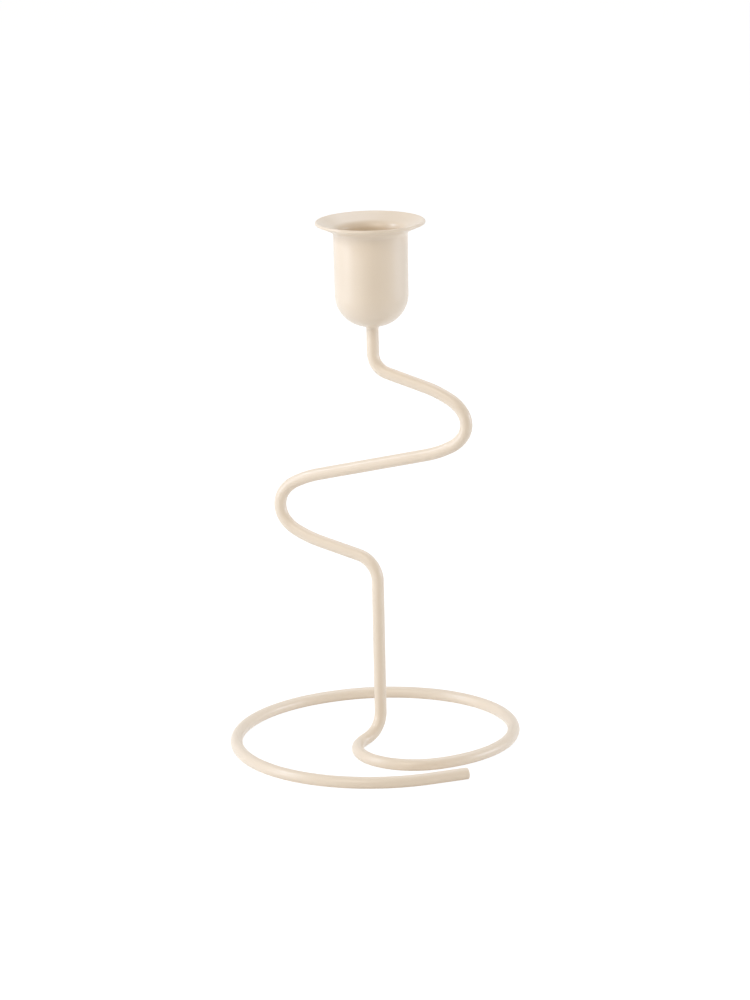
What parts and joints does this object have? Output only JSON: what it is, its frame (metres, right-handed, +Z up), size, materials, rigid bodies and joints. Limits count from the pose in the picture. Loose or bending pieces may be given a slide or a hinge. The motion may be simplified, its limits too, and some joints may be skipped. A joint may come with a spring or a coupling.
{
  "type": "spiral candle holder",
  "caption": "Table candle holder: a round bent rod with a flat spiral base and a wavy stem that carries a flared cup for a taper candle.",
  "frame": {"origin": "middle of the outline seen from above, on the table", "axes": "+Z up along the stem and the cup; the two bends of the wavy stem lie in the XZ plane, the upper bend towards +X"},
  "size_m": [0.0988, 0.1088, 0.1847],
  "materials": {
    "cream_coat": "satin"
  },
  "bodies": {
    "root": {"bent_rod": "cream_coat", "candle_cup": "cream_coat", "neck_fillet": "cream_coat", "plug_weld": "cream_coat"}
  },
  "joints": []
}
